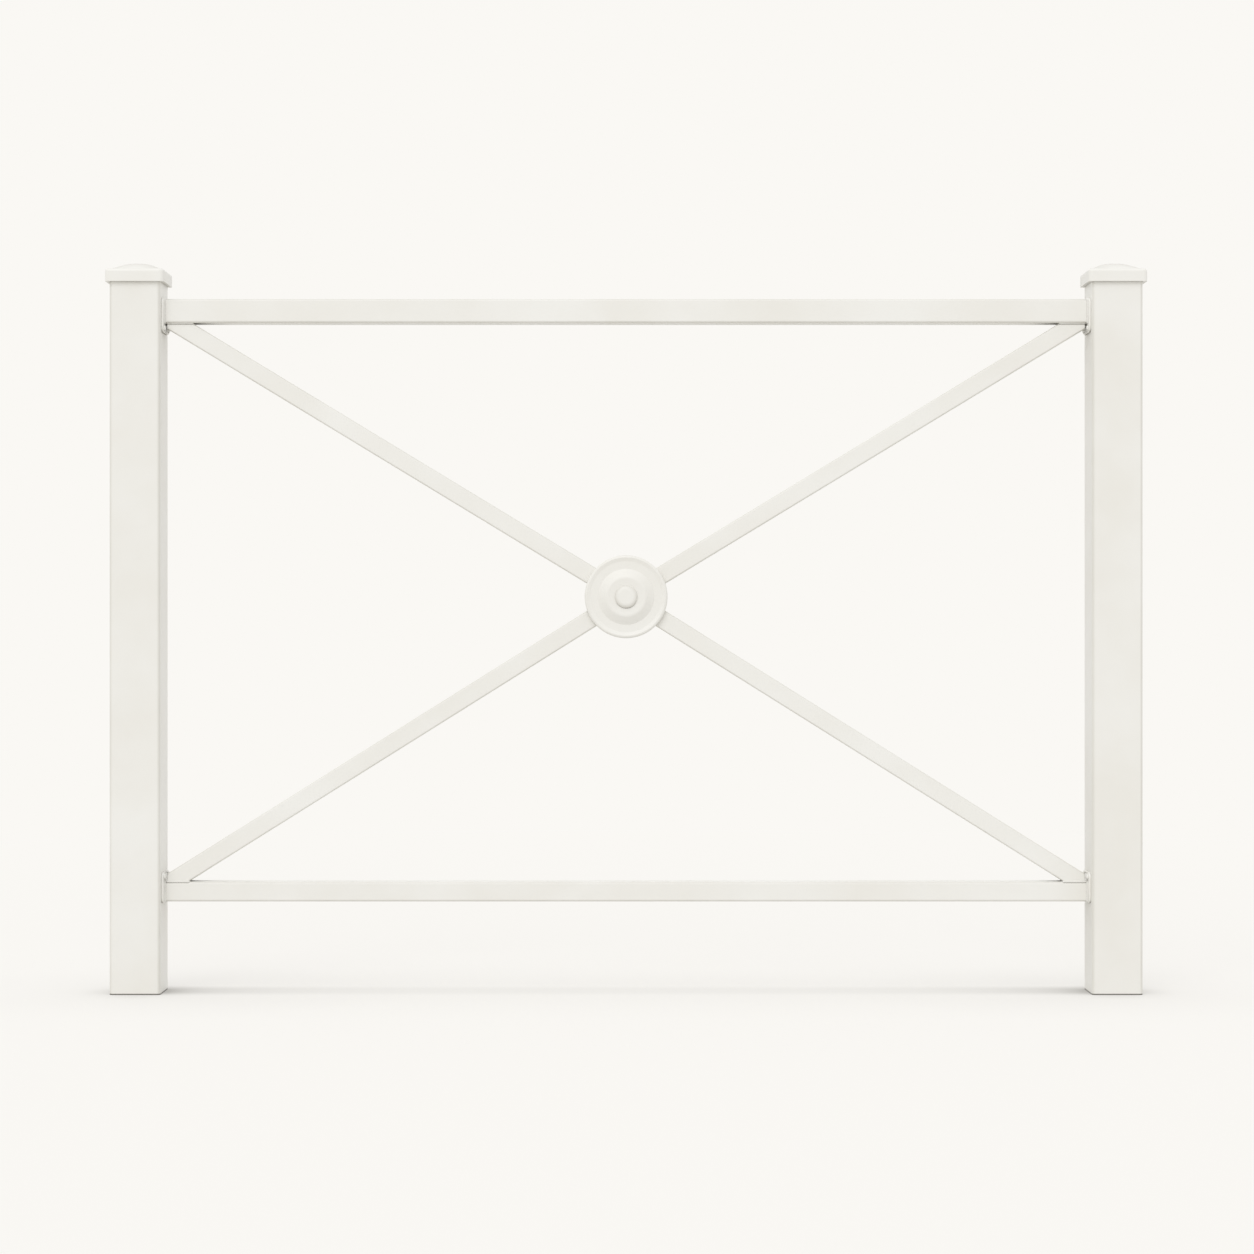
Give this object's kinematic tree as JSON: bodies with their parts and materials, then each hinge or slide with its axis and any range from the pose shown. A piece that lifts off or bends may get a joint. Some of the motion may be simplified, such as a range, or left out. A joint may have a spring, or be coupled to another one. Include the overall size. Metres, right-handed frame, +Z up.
{
  "type": "street barrier",
  "caption": "Waist-high street barrier: capped square posts, top and bottom rails, and crossed tube braces that meet at a round turned rosette.",
  "frame": {"origin": "centre of the left post's foot face, at ground level", "axes": "+X runs along the barrier to the right post, the front faces -Y, +Z up"},
  "size_m": [1.431, 0.081, 1.008],
  "materials": {
    "coated_steel": "satin off-white powder coat on steel tube and plate",
    "coated_casting": "satin off-white powder coat on cast metal"
  },
  "bodies": {
    "root": {"left_post": "coated_steel", "right_post": "coated_steel", "top_rail": "coated_steel", "bottom_rail": "coated_steel", "top_left_end_plate": "coated_steel", "top_right_end_plate": "coated_steel", "bottom_left_end_plate": "coated_steel", "bottom_right_end_plate": "coated_steel", "upper_left_brace": "coated_steel", "upper_right_brace": "coated_steel", "lower_left_brace": "coated_steel", "lower_right_brace": "coated_steel", "crossing_ring": "coated_steel", "rosette_bolt": "coated_steel", "rosette_nut": "coated_steel", "left_post_cap": "coated_casting", "right_post_cap": "coated_casting", "front_rosette": "coated_casting", "back_rosette": "coated_casting"}
  },
  "joints": []
}
